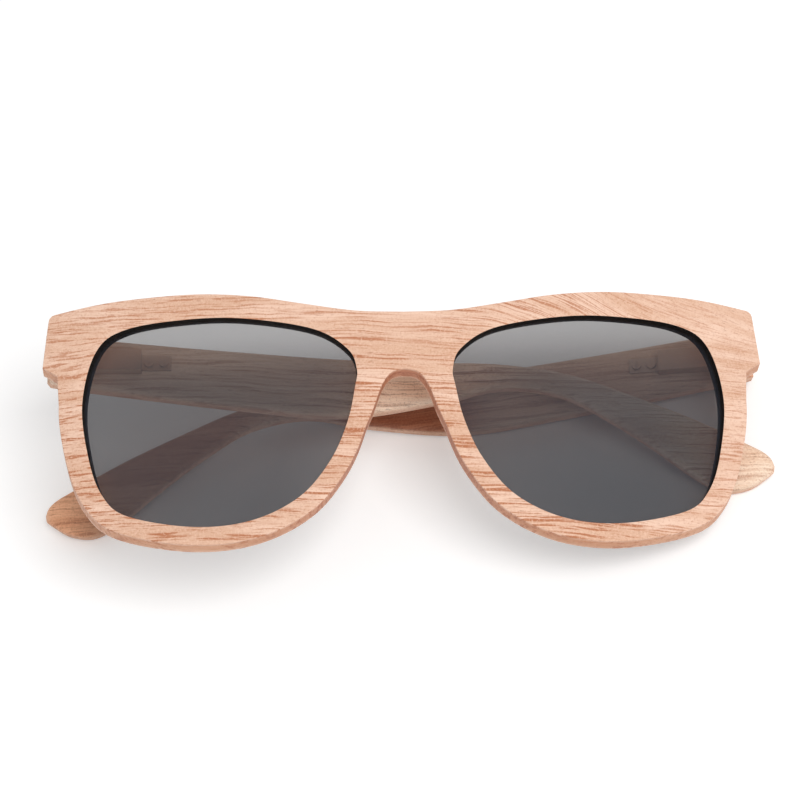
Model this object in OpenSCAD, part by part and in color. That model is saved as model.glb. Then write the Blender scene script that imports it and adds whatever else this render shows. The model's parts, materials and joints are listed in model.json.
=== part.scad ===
// Wooden sunglasses lying folded on a table: a bent-board front, two lenses, two wooden
// temples and a pair of sprung barrel hinges. Left and right are as seen from the front.
// The front is drawn upright, with x to the right, y to the back and z up, then laid down.

/* [Front] */
// Thickness of the front board
front_t = 4; // [3.6:0.1:4.6]
// Radius of the front's outer face, seen from above
front_r = 300; // [260:5:400]
// Width of each lens opening
lens_w = 54.6; // [51:0.2:57]
// Height of each lens opening
lens_h = 45; // [42:0.5:48]
// Gap between the two lens openings at the bridge
bridge_w = 19.2; // [17.6:0.2:22]
// Width of the rim under the lens and beside the nose
rim_w = 3.8; // [3.2:0.1:4.6]
// Width of the rim at the temple side
rim_side_w = 4.8; // [4.4:0.1:5.6]
// Wood above the lens opening, up to the brow line
brow_h = 5.6; // [4:0.1:7]
// How far the top edge dips from the brow line to the bridge
bridge_dip = 5.6; // [3:0.2:7]
// Wood of the bridge, from its top edge down to the nose arch
bridge_h = 12.6; // [10:0.2:15]
// Reach of each endpiece past the side of its rim
endpiece_out = 3.5; // [2.6:0.1:4.4]
// Height of each endpiece at its outer edge
endpiece_h = 12; // [11.6:0.2:14]
// Drop of the top edge from the brow line to the endpiece's corner
endpiece_drop = 2; // [1:0.1:2.6]
// Slant of the endpiece's outer edge, wider below than above
endpiece_slant = 1.1; // [0.4:0.1:1.6]
// Height of the slope from the endpiece's lower edge in to the rim
endpiece_ease = 2.2; // [1.2:0.1:2.8]

/* [Lenses] */
// Thickness of each lens
lens_t = 1.6; // [1.4:0.1:1.8]
// Depth of the lens behind the outer face of the front
lens_set = 1.8; // [1.4:0.1:2]
// How far the lens edge reaches into its groove in the rim
lens_bite = 0.9; // [0.6:0.1:1.2]
// Clearance between the lens and its groove
lens_gap = 0.05; // [0.03:0.01:0.1]

/* [Temples] */
// Length of each temple behind its hinge pin
temple_l = 141.4; // [132:0.2:150]
// Thickness of each temple at the hinge
temple_t = 4.4; // [4:0.1:5]
// Thickness of each temple at the ear
temple_tip_t = 3.6; // [3:0.1:4.2]
// Height of each temple at its front end
temple_front_h = 10.8; // [10:0.2:12]
// Height of each temple at its belly, ahead of the ear
temple_belly_h = 12.4; // [11:0.2:14]
// Height of the neck where the temple bends over the ear
temple_neck_h = 4.8; // [4.2:0.2:6]
// Height of the paddle behind the ear
temple_paddle_h = 11.4; // [10:0.2:13]
// Inward curve of the temple, measured at its tip
temple_bow = 5.6; // [3:0.2:6]
// Radius of the temple's rounded edges
temple_round = 1.1; // [0.6:0.1:1.4]
// Drop from the hinge to the middle of the temple's tip
temple_drop = 26.4; // [25:0.2:28]
// Step from the endpiece's outer edge in to the temple's outer face
temple_in = 0.6; // [0.3:0.1:1]
// How far the left temple is folded from open, in degrees
fold_left = 90; // [88:0.2:91]
// How far the right temple is folded, over the left one, in degrees
fold_right = 80.6; // [78:0.2:82]

/* [Hinges] */
// Diameter of the hinge barrels
barrel_d = 3.2; // [3:0.1:3.4]
// Height of each of the three barrels of a hinge
barrel_h = 1.5; // [1.3:0.1:1.6]
// Gap between one barrel and the next
barrel_gap = 0.05; // [0.03:0.01:0.1]
// Diameter of the hinge screw's plain shank
pin_d = 1.4; // [1.2:0.1:1.6]
// Radial clearance of the turning barrel on its screw
pin_gap = 0.04; // [0.02:0.01:0.08]
// Diameter of the hinge screw's head
pin_head_d = 2.3; // [2:0.1:2.6]
// Height of the hinge screw's head
pin_head_h = 0.6; // [0.4:0.1:0.8]
// Distance of the hinge pin behind the endpiece's seat
pin_back = 6.2; // [5.6:0.1:6.6]
// Distance of the temple's inner face outside the hinge pin
pin_in = 0.8; // [0.6:0.1:1]
// Width of the leaf's plate on the endpiece
leaf_w = 3; // [2.8:0.1:3.2]
// Height of the leaf's plate
leaf_h = 10; // [9.6:0.2:10.4]
// Thickness of the leaf's plate
leaf_t = 1; // [0.8:0.1:1.2]
// Depth of the leaf's pocket in the endpiece
leaf_sink = 0.8; // [0.6:0.1:1]
// Length of the spring box behind the pin
box_l = 13.6; // [13:0.2:15]
// Thickness of the spring box, across the temple
box_t = 3; // [2.8:0.1:3.2]
// Length of the box's screw tab
tab_l = 6; // [5.6:0.2:7]
// Thickness of the screw tab
tab_t = 1; // [0.8:0.1:1.2]
// Diameter of the small wood screws' shanks
screw_d = 1.2; // [1:0.1:1.3]
// Diameter of the small wood screws' heads
screw_head_d = 1.9; // [1.7:0.1:2.1]
// Height of the small wood screws' heads
screw_head_h = 0.45; // [0.3:0.05:0.6]
// Depth of the screws in the wood
screw_l = 2.2; // [1.6:0.1:2.4]
// Diameter of the slider's rod, inside the spring
rod_d = 0.9; // [0.8:0.1:1]
// Diameter of the spring wire
wire_d = 0.3; // [0.24:0.02:0.34]
// Full turns of each spring
spring_turns = 6; // [5:1:7]
// Travel of the slider out of the box
flex = 1; // [0.6:0.1:1.2]

/* [Rest] */
// How far the front leans back over the folded temples, in degrees
lean = 74.9; // [70:0.05:80]
// How far the front tips to the right on the table, in degrees
tip = 9.1; // [5:0.05:12]

/* [Hidden] */
$fn = 48;
SIDES = [-1, 1];
eps = 0.01;
touch = 0.02;

// Overall places of the front
half_bridge = bridge_w / 2;
lens_x = half_bridge + lens_w / 2;
rim_out_x = half_bridge + lens_w + rim_side_w;
half_w = rim_out_x + endpiece_out;
brow_z = lens_h / 2 + brow_h;
bridge_top_z = brow_z - bridge_dip;
arch_z = bridge_top_z - bridge_h;
endpiece_top_z = brow_z - endpiece_drop;
endpiece_low_z = endpiece_top_z - endpiece_h;

function mix(a, b, t) = a + (b - a) * t;
// A curve through a list of points, closed or open
function curve_point(a, b, c, d, t) =
    (2 * b + (c - a) * t + (2 * a - 5 * b + 4 * c - d) * t * t + (3 * b - a - 3 * c + d) * t * t * t) / 2;
function closed_curve(p, steps) = [for (i = [0:len(p) - 1], k = [0:steps - 1])
    curve_point(p[(i + len(p) - 1) % len(p)], p[i], p[(i + 1) % len(p)], p[(i + 2) % len(p)], k / steps)];
function open_curve(p, steps) = concat([for (i = [0:len(p) - 2], k = [0:steps - 1])
    curve_point(p[max(i - 1, 0)], p[i], p[i + 1], p[min(i + 2, len(p) - 1)], k / steps)], [p[len(p) - 1]]);
function unit(v) = v / norm(v);
// Points of a closed loop moved outwards, each by its own width
function grown(p, widths) = [for (i = [0:len(p) - 1])
    let (along = unit(p[(i + 1) % len(p)] - p[(i + len(p) - 1) % len(p)]))
    p[i] + widths[i] * [-along[1], along[0]]];

// Lens opening of the right side, from the nose over the top and round, in halves of its size
LENS_SHAPE = [[-0.985, 0.276], [-1, 0.44], [-0.937, 0.638], [-0.692, 0.842], [-0.2, 0.972], [0.22, 1],
    [0.691, 0.946], [0.907, 0.753], [1, 0.26], [0.946, -0.27], [0.84, -0.64], [0.654, -0.854], [0.18, -0.995],
    [-0.235, -0.962], [-0.578, -0.757], [-0.801, -0.421], [-0.927, -0.056]];
LENS_STEPS = 5;
SIDE_STEP = 8 * LENS_STEPS;
ROUND_STEP = 11 * LENS_STEPS;
NOSE_STEP = 16 * LENS_STEPS;
lens_loop = closed_curve([for (p = LENS_SHAPE) [lens_x + p[0] * lens_w / 2, p[1] * lens_h / 2]], LENS_STEPS);
// Width of the rim, easing from the temple side to the lower corner
rim_widths = [for (i = [0:len(lens_loop) - 1])
    let (ease = min(max((i - SIDE_STEP) / (ROUND_STEP - SIDE_STEP), 0), 1))
    rim_side_w + (rim_w - rim_side_w) * ease];
rim_loop = grown(lens_loop, rim_widths);
// Top edge beside the bridge: place in lens widths, rise in shares of the dip
BROW_SHAPE = [[0, 0.07], [0.19, 0.4], [0.374, 0.77], [0.56, 0.98], [0.74, 1]];
brow_line = open_curve(concat([[0, bridge_top_z]],
    [for (p = BROW_SHAPE) [half_bridge + p[0] * lens_w, bridge_top_z + p[1] * bridge_dip]],
    [[half_bridge + 0.94 * lens_w, brow_z - endpiece_drop / 4], [half_w - endpiece_slant, endpiece_top_z]]), 4);
// Nose arch from the rim up to the middle, in shares of the bridge's half width and height
ARCH_SHAPE = [[0.656, 0.65], [0.49, 0.286], [0.281, 0.056], [0, 0]];
arch_line = open_curve(concat([rim_loop[NOSE_STEP]],
    [for (p = ARCH_SHAPE) [p[0] * half_bridge, arch_z - p[1] * bridge_h]]), 4);
half_outline = concat(brow_line,
    [[half_w, endpiece_low_z], [rim_out_x + endpiece_ease / 5, endpiece_low_z - endpiece_ease]],
    [for (i = [SIDE_STEP:NOSE_STEP - 1]) rim_loop[i]], arch_line);
front_outline = concat(half_outline, [for (i = [len(half_outline) - 2:-1:1])
    [-half_outline[i][0], half_outline[i][1]]]);

// Hinge places. The seat follows the front's back face where the temple meets it
pin_x = half_w - temple_in - temple_t - pin_in;
back_r = front_r - front_t;
seat_x = pin_x + pin_in + temple_t / 2;
seat_turn = asin(seat_x / back_r);
seat_y = front_r - back_r * cos(seat_turn);
pin_y = seat_y + pin_back / cos(seat_turn) - (seat_x - pin_x) * tan(seat_turn);
pin_z = (endpiece_top_z + endpiece_low_z) / 2;
barrel_r = barrel_d / 2;
barrel_pitch = barrel_h + barrel_gap;
stack_h = 3 * barrel_h + 2 * barrel_gap;
bore_r = pin_d / 2 + pin_gap;
screw_r = screw_d / 2;
hole_r = screw_r + touch;

// Front leaf, in the turned frame of its seat
leaf_clear = 0.3;
leaf_right = pin_in - leaf_clear;
leaf_mid_x = leaf_right - leaf_w / 2;
leaf_floor_y = -pin_back - leaf_sink;
leaf_face_y = leaf_floor_y + leaf_t;
leaf_screw_z = stack_h / 2 + screw_head_d / 2 + leaf_clear;
stalk_w = leaf_right + barrel_r - leaf_clear;

// Spring box, slider and spring, along the temple behind the pin
box_gap = 0.3;
slide_gap = 0.04;
box_y = barrel_r + box_gap;
tongue_wall = 0.6;
tongue_t = box_t - 2 * tongue_wall;
tongue_h = barrel_h - 2 * slide_gap;
guide_l = 2.6;
box_wall = 0.8;
guide_y = box_y + guide_l;
chamber_y = guide_y + box_wall;
chamber_end_y = box_l - box_wall;
nut_l = 0.9;
nut_wall = 0.4;
nut_end_gap = 0.8;
nut_y = chamber_end_y - nut_l - nut_end_gap;
nut_d = rod_d + 2 * nut_wall;
coil_gap = 0.1;
coil_d = rod_d + wire_d + 2 * coil_gap;
chamber_gap = 0.15;
chamber_w = coil_d + wire_d + 2 * chamber_gap;
tab_step = 0.7;
tab_h = stack_h - 2 * tab_step;
tab_screw_ys = [for (k = [0.25, 0.75]) box_l + k * tab_l];
box_face_x = box_t / 2;

// Temple, as sections along its length: place and drop in shares, height and slant
butt_gap = 0.15;
bow_y = 0.28 * temple_l;
TEMPLE_SHAPE = [
    [0.107, 0.041, mix(temple_front_h, temple_belly_h, 0.46), 0],
    [0.25, 0.131, mix(temple_front_h, temple_belly_h, 0.94), 0],
    [0.389, 0.199, temple_belly_h, 0],
    [0.525, 0.169, mix(temple_neck_h, temple_belly_h, 0.52), 0],
    [0.621, 0.134, mix(temple_neck_h, temple_belly_h, 0.04), 8],
    [0.71, 0.225, temple_neck_h, 26],
    [0.786, 0.43, mix(temple_neck_h, temple_paddle_h, 0.3), 36],
    [0.853, 0.648, mix(temple_neck_h, temple_paddle_h, 0.68), 35],
    [0.909, 0.856, temple_paddle_h, 31],
    [0.945, 0.972, 0.99 * temple_paddle_h, 26],
    [0.973, 1, 0.74 * temple_paddle_h, 20],
    [0.992, 0.99, 0.4 * temple_paddle_h, 14],
    [1, 1, 0.13 * temple_paddle_h, 10]];
butt_rise = 0.065;
TEMPLE_SECTIONS = concat([[-pin_back + butt_gap, butt_rise * temple_drop, temple_front_h, 0]],
    [for (s = TEMPLE_SHAPE) [s[0] * temple_l, -s[1] * temple_drop, s[2], s[3]]]);
TEMPLE_STEPS = 3;
temple_stations = open_curve(TEMPLE_SECTIONS, TEMPLE_STEPS);
CORNER_STEPS = 3;
function bow_in(y) = temple_bow * pow(max(y - bow_y, 0) / (temple_l - bow_y), 2);
function section_t(y) = temple_t + (temple_tip_t - temple_t) * max(y, 0) / temple_l;
// Share of the thickness left in the last sections, so that the tip is rounded
TIP_FROM = 0.965;
TIP_LEAST = 0.2;
function tip_ease(y) = sqrt(max(1 - pow(max(y / temple_l - TIP_FROM, 0) / (1 - TIP_FROM), 2), TIP_LEAST * TIP_LEAST));
function section_ring(s) = let (
        half_t = section_t(s[0]) / 2 * tip_ease(s[0]),
        half_h = s[2] / 2,
        round_r = min(temple_round, 0.9 * half_h, 0.9 * half_t))
    [for (corner = [0:3], k = [0:CORNER_STEPS])
        let (turn = 90 * (corner + k / CORNER_STEPS),
            sx = (corner == 0 || corner == 3) ? 1 : -1,
            sz = corner < 2 ? 1 : -1,
            across = sx * (half_t - round_r) + round_r * cos(turn),
            up = sz * (half_h - round_r) + round_r * sin(turn),
            y = s[0] + up * sin(s[3]))
        [pin_in + section_t(s[0]) / 2 + across - bow_in(s[0]), y, s[1] + up * cos(s[3])]];
// The front end is cut along the seat
function butt_ring(s) = [for (p = section_ring(s))
    [p[0], (-pin_back + butt_gap) / cos(seat_turn) + p[0] * tan(seat_turn), p[2]]];
temple_rings = [for (i = [0:len(temple_stations) - 1])
    i == 0 ? butt_ring(temple_stations[0]) : section_ring(temple_stations[i])];

// Where everything comes to lie: a rest on the lowest points, centred on its own outline
function turned(p) = let (
        y1 = p[1] * cos(lean) + p[2] * sin(lean),
        z1 = p[2] * cos(lean) - p[1] * sin(lean))
    [p[0] * cos(tip) + z1 * sin(tip), y1, z1 * cos(tip) - p[0] * sin(tip)];
function folded(p, side, fold) = let (x = side * p[0], turn = side * fold)
    [side * pin_x + x * cos(turn) - p[1] * sin(turn), pin_y + x * sin(turn) + p[1] * cos(turn), pin_z + p[2]];
function face_y(x, r) = front_r - sqrt(r * r - x * x);
fold_of = [fold_left, 0, fold_right];
reach = [for (p = concat(
    [for (q = front_outline, r = [front_r, back_r]) [q[0], face_y(q[0], r), q[1]]],
    [for (side = SIDES, ring = temple_rings, p = ring) folded(p, side, fold_of[side + 1])])) turned(p)];
low = [for (k = [0:2]) min([for (p = reach) p[k]])];
high = [for (k = [0:2]) max([for (p = reach) p[k]])];
rest_shift = [-(low[0] + high[0]) / 2, -(low[1] + high[1]) / 2, -low[2]];

module at_rest() {
    translate(rest_shift) rotate([0, tip, 0]) rotate([-lean, 0, 0]) children();
}

// The frame of one hinge: the pin stands along z, the open temple runs along y
module at_hinge(side) {
    at_rest() translate([side * pin_x, pin_y, pin_z]) mirror([side < 0 ? 1 : 0, 0, 0]) children();
}

module at_seat(side) {
    at_hinge(side) rotate([0, 0, seat_turn]) children();
}

module at_temple(side) {
    at_hinge(side) rotate([0, 0, fold_of[side + 1]]) children();
}

// A flat outline in x and z, drawn out to the back from y = 0
module drawn_back(points, depth) {
    translate([0, depth, 0]) rotate([90, 0, 0]) linear_extrude(depth) polygon(points);
}

// A bent sheet of the front's curve, between two depths behind the outer face
SHEET_STEPS = 240;
module bent_sheet(from, to, height) {
    translate([0, front_r, -height / 2]) difference() {
        cylinder(r = front_r - from, h = height, $fn = SHEET_STEPS);
        translate([0, 0, -1]) cylinder(r = front_r - to, h = height + 2, $fn = SHEET_STEPS);
    }
}

module loft(rings) {
    n = len(rings[0]);
    m = len(rings);
    points = [for (ring = rings, p = ring) p];
    sides = [for (i = [0:m - 2], k = [0:n - 1], half = [0, 1])
        let (a = i * n + k, b = i * n + (k + 1) % n)
        half == 0 ? [a, b, b + n] : [a, b + n, a + n]];
    first = [for (k = [1:n - 2]) [0, k + 1, k]];
    last = [for (k = [1:n - 2]) let (o = (m - 1) * n) [o, o + k, o + k + 1]];
    polyhedron(points = points, faces = concat(sides, first, last));
}

front_depth = face_y(half_w, back_r) + front_t;
lens_tall = 2 * lens_h;
groove_front = lens_set - lens_gap;
groove_back = lens_set + lens_t + lens_gap;
groove_loop = grown(lens_loop, [for (p = lens_loop) lens_bite]);
lens_edge_loop = grown(lens_loop, [for (p = lens_loop) lens_bite - lens_gap]);

module side_of(side) {
    mirror([side < 0 ? 1 : 0, 0, 0]) children();
}

module front_frame() {
    color("#d9a883") difference() {
        at_rest() difference() {
            intersection() {
                drawn_back(front_outline, front_depth);
                bent_sheet(0, front_t, lens_tall);
            }
            for (side = SIDES) {
                side_of(side) drawn_back(lens_loop, front_depth);
                intersection() {
                    side_of(side) drawn_back(groove_loop, front_depth);
                    bent_sheet(groove_front, groove_back, lens_tall);
                }
            }
        }
        for (side = SIDES) at_seat(side) {
            leaf_pocket();
            for (s = SIDES) translate([leaf_mid_x, leaf_floor_y + eps, s * leaf_screw_z])
                rotate([90, 0, 0]) cylinder(r = hole_r, h = screw_l + touch + eps);
        }
    }
}

module leaf_pocket() {
    translate([leaf_right - leaf_w - touch, leaf_floor_y, -leaf_h / 2 - touch])
        cube([leaf_w + 2 * touch, front_t, leaf_h + 2 * touch]);
}

module lens(side) {
    color("#4a4d50", 0.75) at_rest() intersection() {
        side_of(side) drawn_back(lens_edge_loop, front_depth);
        bent_sheet(lens_set, lens_set + lens_t, lens_tall);
    }
}

module temple(side) {
    color("#dcb892") at_temple(side) difference() {
        loft(temple_rings);
        translate([-box_t, -2 * pin_back, -stack_h / 2 - box_gap])
            cube([box_t + barrel_r + box_gap, 2 * pin_back + box_y, stack_h + pin_head_h + 2 * box_gap]);
        rotate([0, 0, seat_turn]) translate([leaf_right - leaf_w - box_gap, leaf_floor_y, -leaf_h / 2 - box_gap])
            cube([leaf_w + 2 * box_gap, leaf_t + screw_head_h + box_gap, leaf_h + 2 * box_gap]);
        translate([-box_t, 0, -stack_h / 2 - touch])
            cube([box_t + box_face_x, box_l + touch, stack_h + 2 * touch]);
        translate([-box_t, 0, -tab_h / 2 - touch])
            cube([box_t + box_face_x, box_l + tab_l + touch, tab_h + 2 * touch]);
        for (y = tab_screw_ys) translate([box_face_x - eps, y, 0])
            rotate([0, 90, 0]) cylinder(r = hole_r, h = screw_l + touch + eps);
    }
}

// Leaf on the endpiece: a screwed plate with the two outer barrels
module front_leaf(side) {
    color("silver") at_seat(side) difference() {
        union() {
            translate([leaf_right - leaf_w, leaf_floor_y, -leaf_h / 2]) cube([leaf_w, leaf_t, leaf_h]);
            for (s = SIDES) translate([0, 0, s * barrel_pitch - barrel_h / 2]) {
                cylinder(r = barrel_r, h = barrel_h);
                translate([leaf_right - stalk_w, leaf_face_y - eps, 0]) cube([stalk_w, -leaf_face_y, barrel_h]);
            }
        }
        translate([0, 0, -stack_h]) cylinder(r = pin_d / 2 + touch, h = 2 * stack_h);
        for (s = SIDES) translate([leaf_mid_x, leaf_face_y + eps, s * leaf_screw_z])
            rotate([90, 0, 0]) cylinder(r = hole_r, h = leaf_t + 2 * eps);
    }
}

// A small wood screw, head down on z = 0 and shank below
slot_w = 0.3;
slot_deep = 0.2;
module wood_screw(grip) {
    difference() {
        union() {
            cylinder(d = screw_head_d, h = screw_head_h);
            translate([0, 0, -grip - screw_l]) cylinder(r = screw_r, h = grip + screw_l + eps);
        }
        translate([-screw_head_d, -slot_w / 2, screw_head_h - slot_deep])
            cube([2 * screw_head_d, slot_w, screw_head_h]);
    }
}

module leaf_screws(side) {
    color("silver") at_seat(side) for (s = SIDES)
        translate([leaf_mid_x, leaf_face_y, s * leaf_screw_z]) rotate([-90, 0, 0]) wood_screw(leaf_t);
}

module box_screws(side) {
    color("silver") at_temple(side) for (y = tab_screw_ys)
        translate([box_face_x - tab_t, y, 0]) rotate([0, -90, 0]) wood_screw(tab_t);
}

module hinge_pin(side) {
    color("silver") at_hinge(side) difference() {
        union() {
            translate([0, 0, -stack_h / 2]) cylinder(d = pin_d, h = stack_h + eps);
            translate([0, 0, stack_h / 2]) cylinder(d = pin_head_d, h = pin_head_h);
        }
        translate([-pin_head_d, -slot_w / 2, stack_h / 2 + pin_head_h - slot_deep])
            cube([2 * pin_head_d, slot_w, pin_head_h]);
    }
}

// Middle barrel on its tongue, with the rod that draws the spring
module slider(side) {
    color("silver") at_temple(side) difference() {
        union() {
            translate([0, 0, -barrel_h / 2]) cylinder(r = barrel_r, h = barrel_h);
            translate([-tongue_t / 2, 0, -tongue_h / 2]) cube([tongue_t, guide_y - touch, tongue_h]);
            translate([0, guide_y - 2 * touch, 0]) rotate([-90, 0, 0])
                cylinder(d = rod_d, h = nut_y + nut_l - guide_y + 2 * touch);
        }
        translate([0, 0, -stack_h]) cylinder(r = bore_r, h = 2 * stack_h);
    }
}

module rod_nut(side) {
    color("silver") at_temple(side) translate([0, nut_y, 0]) rotate([-90, 0, 0]) difference() {
        cylinder(d = nut_d, h = nut_l);
        translate([0, 0, -1]) cylinder(d = rod_d + 2 * touch, h = nut_l + 2);
    }
}

// Box on the temple's inner face, open towards the wood, with a screw tab behind
module spring_box(side) {
    color("silver") at_temple(side) difference() {
        union() {
            translate([-box_t / 2, box_y, -stack_h / 2]) cube([box_t, box_l - box_y, stack_h]);
            translate([box_face_x - tab_t, box_l - eps, -tab_h / 2]) cube([tab_t, tab_l + eps, tab_h]);
        }
        translate([-tongue_t / 2 - slide_gap, box_y - 1, -tongue_h / 2 - slide_gap])
            cube([box_t, guide_l + 1, tongue_h + 2 * slide_gap]);
        translate([-rod_d / 2 - slide_gap, box_y, -rod_d / 2 - slide_gap])
            cube([box_t, box_l / 2, rod_d + 2 * slide_gap]);
        translate([-chamber_w / 2, chamber_y, -chamber_w / 2])
            cube([box_t, chamber_end_y - chamber_y, chamber_w]);
        for (y = tab_screw_ys) translate([-box_t, y, 0]) rotate([0, 90, 0]) cylinder(r = hole_r, h = 2 * box_t);
    }
}

// Compression spring round the rod, one unbroken wire
spring_from = chamber_y + touch;
spring_l = nut_y - spring_from - touch;
spring_pitch = (spring_l - wire_d) / spring_turns;
TURN_STEPS = 8;
WIRE_SIDES = 6;
function coil_point(k) = [coil_d / 2 * cos(360 * k / TURN_STEPS),
    spring_from + wire_d / 2 + spring_pitch * k / TURN_STEPS, coil_d / 2 * sin(360 * k / TURN_STEPS)];
function wire_ring(k) = let (
        out = [cos(360 * k / TURN_STEPS), 0, sin(360 * k / TURN_STEPS)],
        along = unit(coil_point(k + 0.5) - coil_point(k - 0.5)),
        side = cross(along, out))
    [for (j = [0:WIRE_SIDES - 1]) coil_point(k)
        + wire_d / 2 * (cos(360 * j / WIRE_SIDES) * out + sin(360 * j / WIRE_SIDES) * side)];
coil_rings = [for (k = [0:TURN_STEPS * spring_turns]) wire_ring(k)];
coil_least = min([for (k = [0:TURN_STEPS * (spring_turns - 1)], j = [-2:2])
    norm(coil_point(k) - coil_point(k + TURN_STEPS + j))]) - wire_d;
echo(spring_least_gap = coil_least);

module spring(side) {
    color("gray") at_temple(side) loft(coil_rings);
}

front_frame();
lens(-1);  // left_lens
lens(1);  // right_lens
temple(-1);  // left_temple
temple(1);  // right_temple
front_leaf(-1);  // left_front_leaf
front_leaf(1);  // right_front_leaf
leaf_screws(-1);  // left_leaf_screws
leaf_screws(1);  // right_leaf_screws
hinge_pin(-1);  // left_hinge_pin
hinge_pin(1);  // right_hinge_pin
slider(-1);  // left_slider
slider(1);  // right_slider
rod_nut(-1);  // left_rod_nut
rod_nut(1);  // right_rod_nut
spring(-1);  // left_spring
spring(1);  // right_spring
spring_box(-1);  // left_spring_box
spring_box(1);  // right_spring_box
box_screws(-1);  // left_box_screws
box_screws(1);  // right_box_screws
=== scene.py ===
# %% [markdown]
# Folded wooden sunglasses.
# The real thing is a bent wooden front with two tinted lenses, and two wooden temples on sprung hinges.
# It lies on a white table, on its folded temples, with the front facing up and towards the viewer.
# The imported model gives the fixed frame: every node already lies where it belongs, in metres.
# Its nodes and joints are kept first, because the pieces are placed by them.

# %% Load the imported model
import json
from math import asin, cos, pi, radians, sin, sqrt, tan

import bmesh
import bpy
from mathutils import Matrix, Vector
from mathutils.geometry import interpolate_bezier


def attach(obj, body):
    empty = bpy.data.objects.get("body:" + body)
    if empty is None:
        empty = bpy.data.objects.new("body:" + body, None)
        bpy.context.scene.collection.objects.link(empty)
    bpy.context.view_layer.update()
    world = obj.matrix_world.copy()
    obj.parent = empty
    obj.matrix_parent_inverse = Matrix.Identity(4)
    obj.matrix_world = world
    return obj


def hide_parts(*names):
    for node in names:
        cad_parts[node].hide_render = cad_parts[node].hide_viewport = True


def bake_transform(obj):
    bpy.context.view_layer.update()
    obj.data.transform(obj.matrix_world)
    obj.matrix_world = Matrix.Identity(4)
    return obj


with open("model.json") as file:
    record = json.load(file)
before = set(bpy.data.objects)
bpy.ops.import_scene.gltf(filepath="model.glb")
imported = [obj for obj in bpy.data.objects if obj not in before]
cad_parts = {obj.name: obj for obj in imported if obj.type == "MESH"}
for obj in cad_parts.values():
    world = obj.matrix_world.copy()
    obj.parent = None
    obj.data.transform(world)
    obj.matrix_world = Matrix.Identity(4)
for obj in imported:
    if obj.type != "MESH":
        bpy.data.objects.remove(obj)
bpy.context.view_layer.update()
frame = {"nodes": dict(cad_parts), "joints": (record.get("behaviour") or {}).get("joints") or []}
bpy.context.scene.view_settings.view_transform = "Standard"

# %% [markdown]
# The sizes of the real front, in millimetres, as in the part's source.
# The front is drawn upright, with x to the right, y to the back and z up, before it is bent and laid down.
# A designer starts from the lens, and the other places follow from it: the brow above it, the rim round it
# and the endpieces beside it. So only a few sizes are typed, and the places are worked out from them.

# %% Sizes of the front
front_t, front_r = 4.0, 300.0
lens_w, lens_h = 54.6, 45.0
bridge_w, bridge_h, bridge_dip = 19.2, 12.6, 5.6
rim_w, rim_side_w, brow_h = 3.8, 4.8, 5.6
endpiece_out, endpiece_h, endpiece_drop = 3.5, 12.0, 2.0

half_bridge = bridge_w / 2
lens_x = half_bridge + lens_w / 2
rim_out_x = half_bridge + lens_w + rim_side_w
half_w = rim_out_x + endpiece_out
brow_z = lens_h / 2 + brow_h
bridge_top_z = brow_z - bridge_dip
arch_z = bridge_top_z - bridge_h
endpiece_top_z = brow_z - endpiece_drop
endpiece_low_z = endpiece_top_z - endpiece_h
print("front", 2 * half_w, "mm wide, brow at", brow_z)

# %% [markdown]
# The two hinge pins tell where the upright drawing lies on the table: x runs from pin to pin, z runs along
# the pins, and y follows from those two. The pose could be typed as angles, but then it would no longer be
# right after a change to the model. Taken from the joints, it always is.

# %% The way from the drawing to the table
MM = 0.001
LEFT, RIGHT = -1, 1
SIDES = ((LEFT, "left"), (RIGHT, "right"))
pin_back, pin_in = 6.2, 0.8
temple_in, temple_t = 0.6, 4.4

back_r = front_r - front_t
pin_x = half_w - temple_in - temple_t - pin_in
seat_x = pin_x + pin_in + temple_t / 2
seat_turn = asin(seat_x / back_r)
seat_y = front_r - back_r * cos(seat_turn)
pin_y = seat_y + pin_back / cos(seat_turn) - (seat_x - pin_x) * tan(seat_turn)
pin_z = (endpiece_top_z + endpiece_low_z) / 2

joint = {j["name"]: j for j in frame["joints"]}
pins = {side: Vector(joint[word + "_fold"]["pos_m"]) for side, word in SIDES}
folds = {side: radians(joint[word + "_fold"]["range_deg"][1]) for side, word in SIDES}
z_axis = Vector(joint["left_fold"]["axis"]).normalized()
x_axis = (pins[RIGHT] - pins[LEFT]).normalized()
y_axis = z_axis.cross(x_axis)
turn = Matrix((x_axis, y_axis, z_axis)).transposed()
place = (pins[LEFT] + pins[RIGHT]) / 2 - turn @ Vector((0, pin_y, pin_z)) * MM
laid = Matrix.Translation(place) @ turn.to_4x4() @ Matrix.Scale(MM, 4)
print("pin spacing", round((pins[RIGHT] - pins[LEFT]).length / MM, 3), "drawn", round(2 * pin_x, 3))

# %% [markdown]
# Materials are trees of nodes. They could be wired one node at a time, but a long tree gets hard to read.
# A small class wraps one socket of a tree, so that a sum or a product of sockets is written as plain
# arithmetic, with a number on either side, and one method adds any other node.

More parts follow.
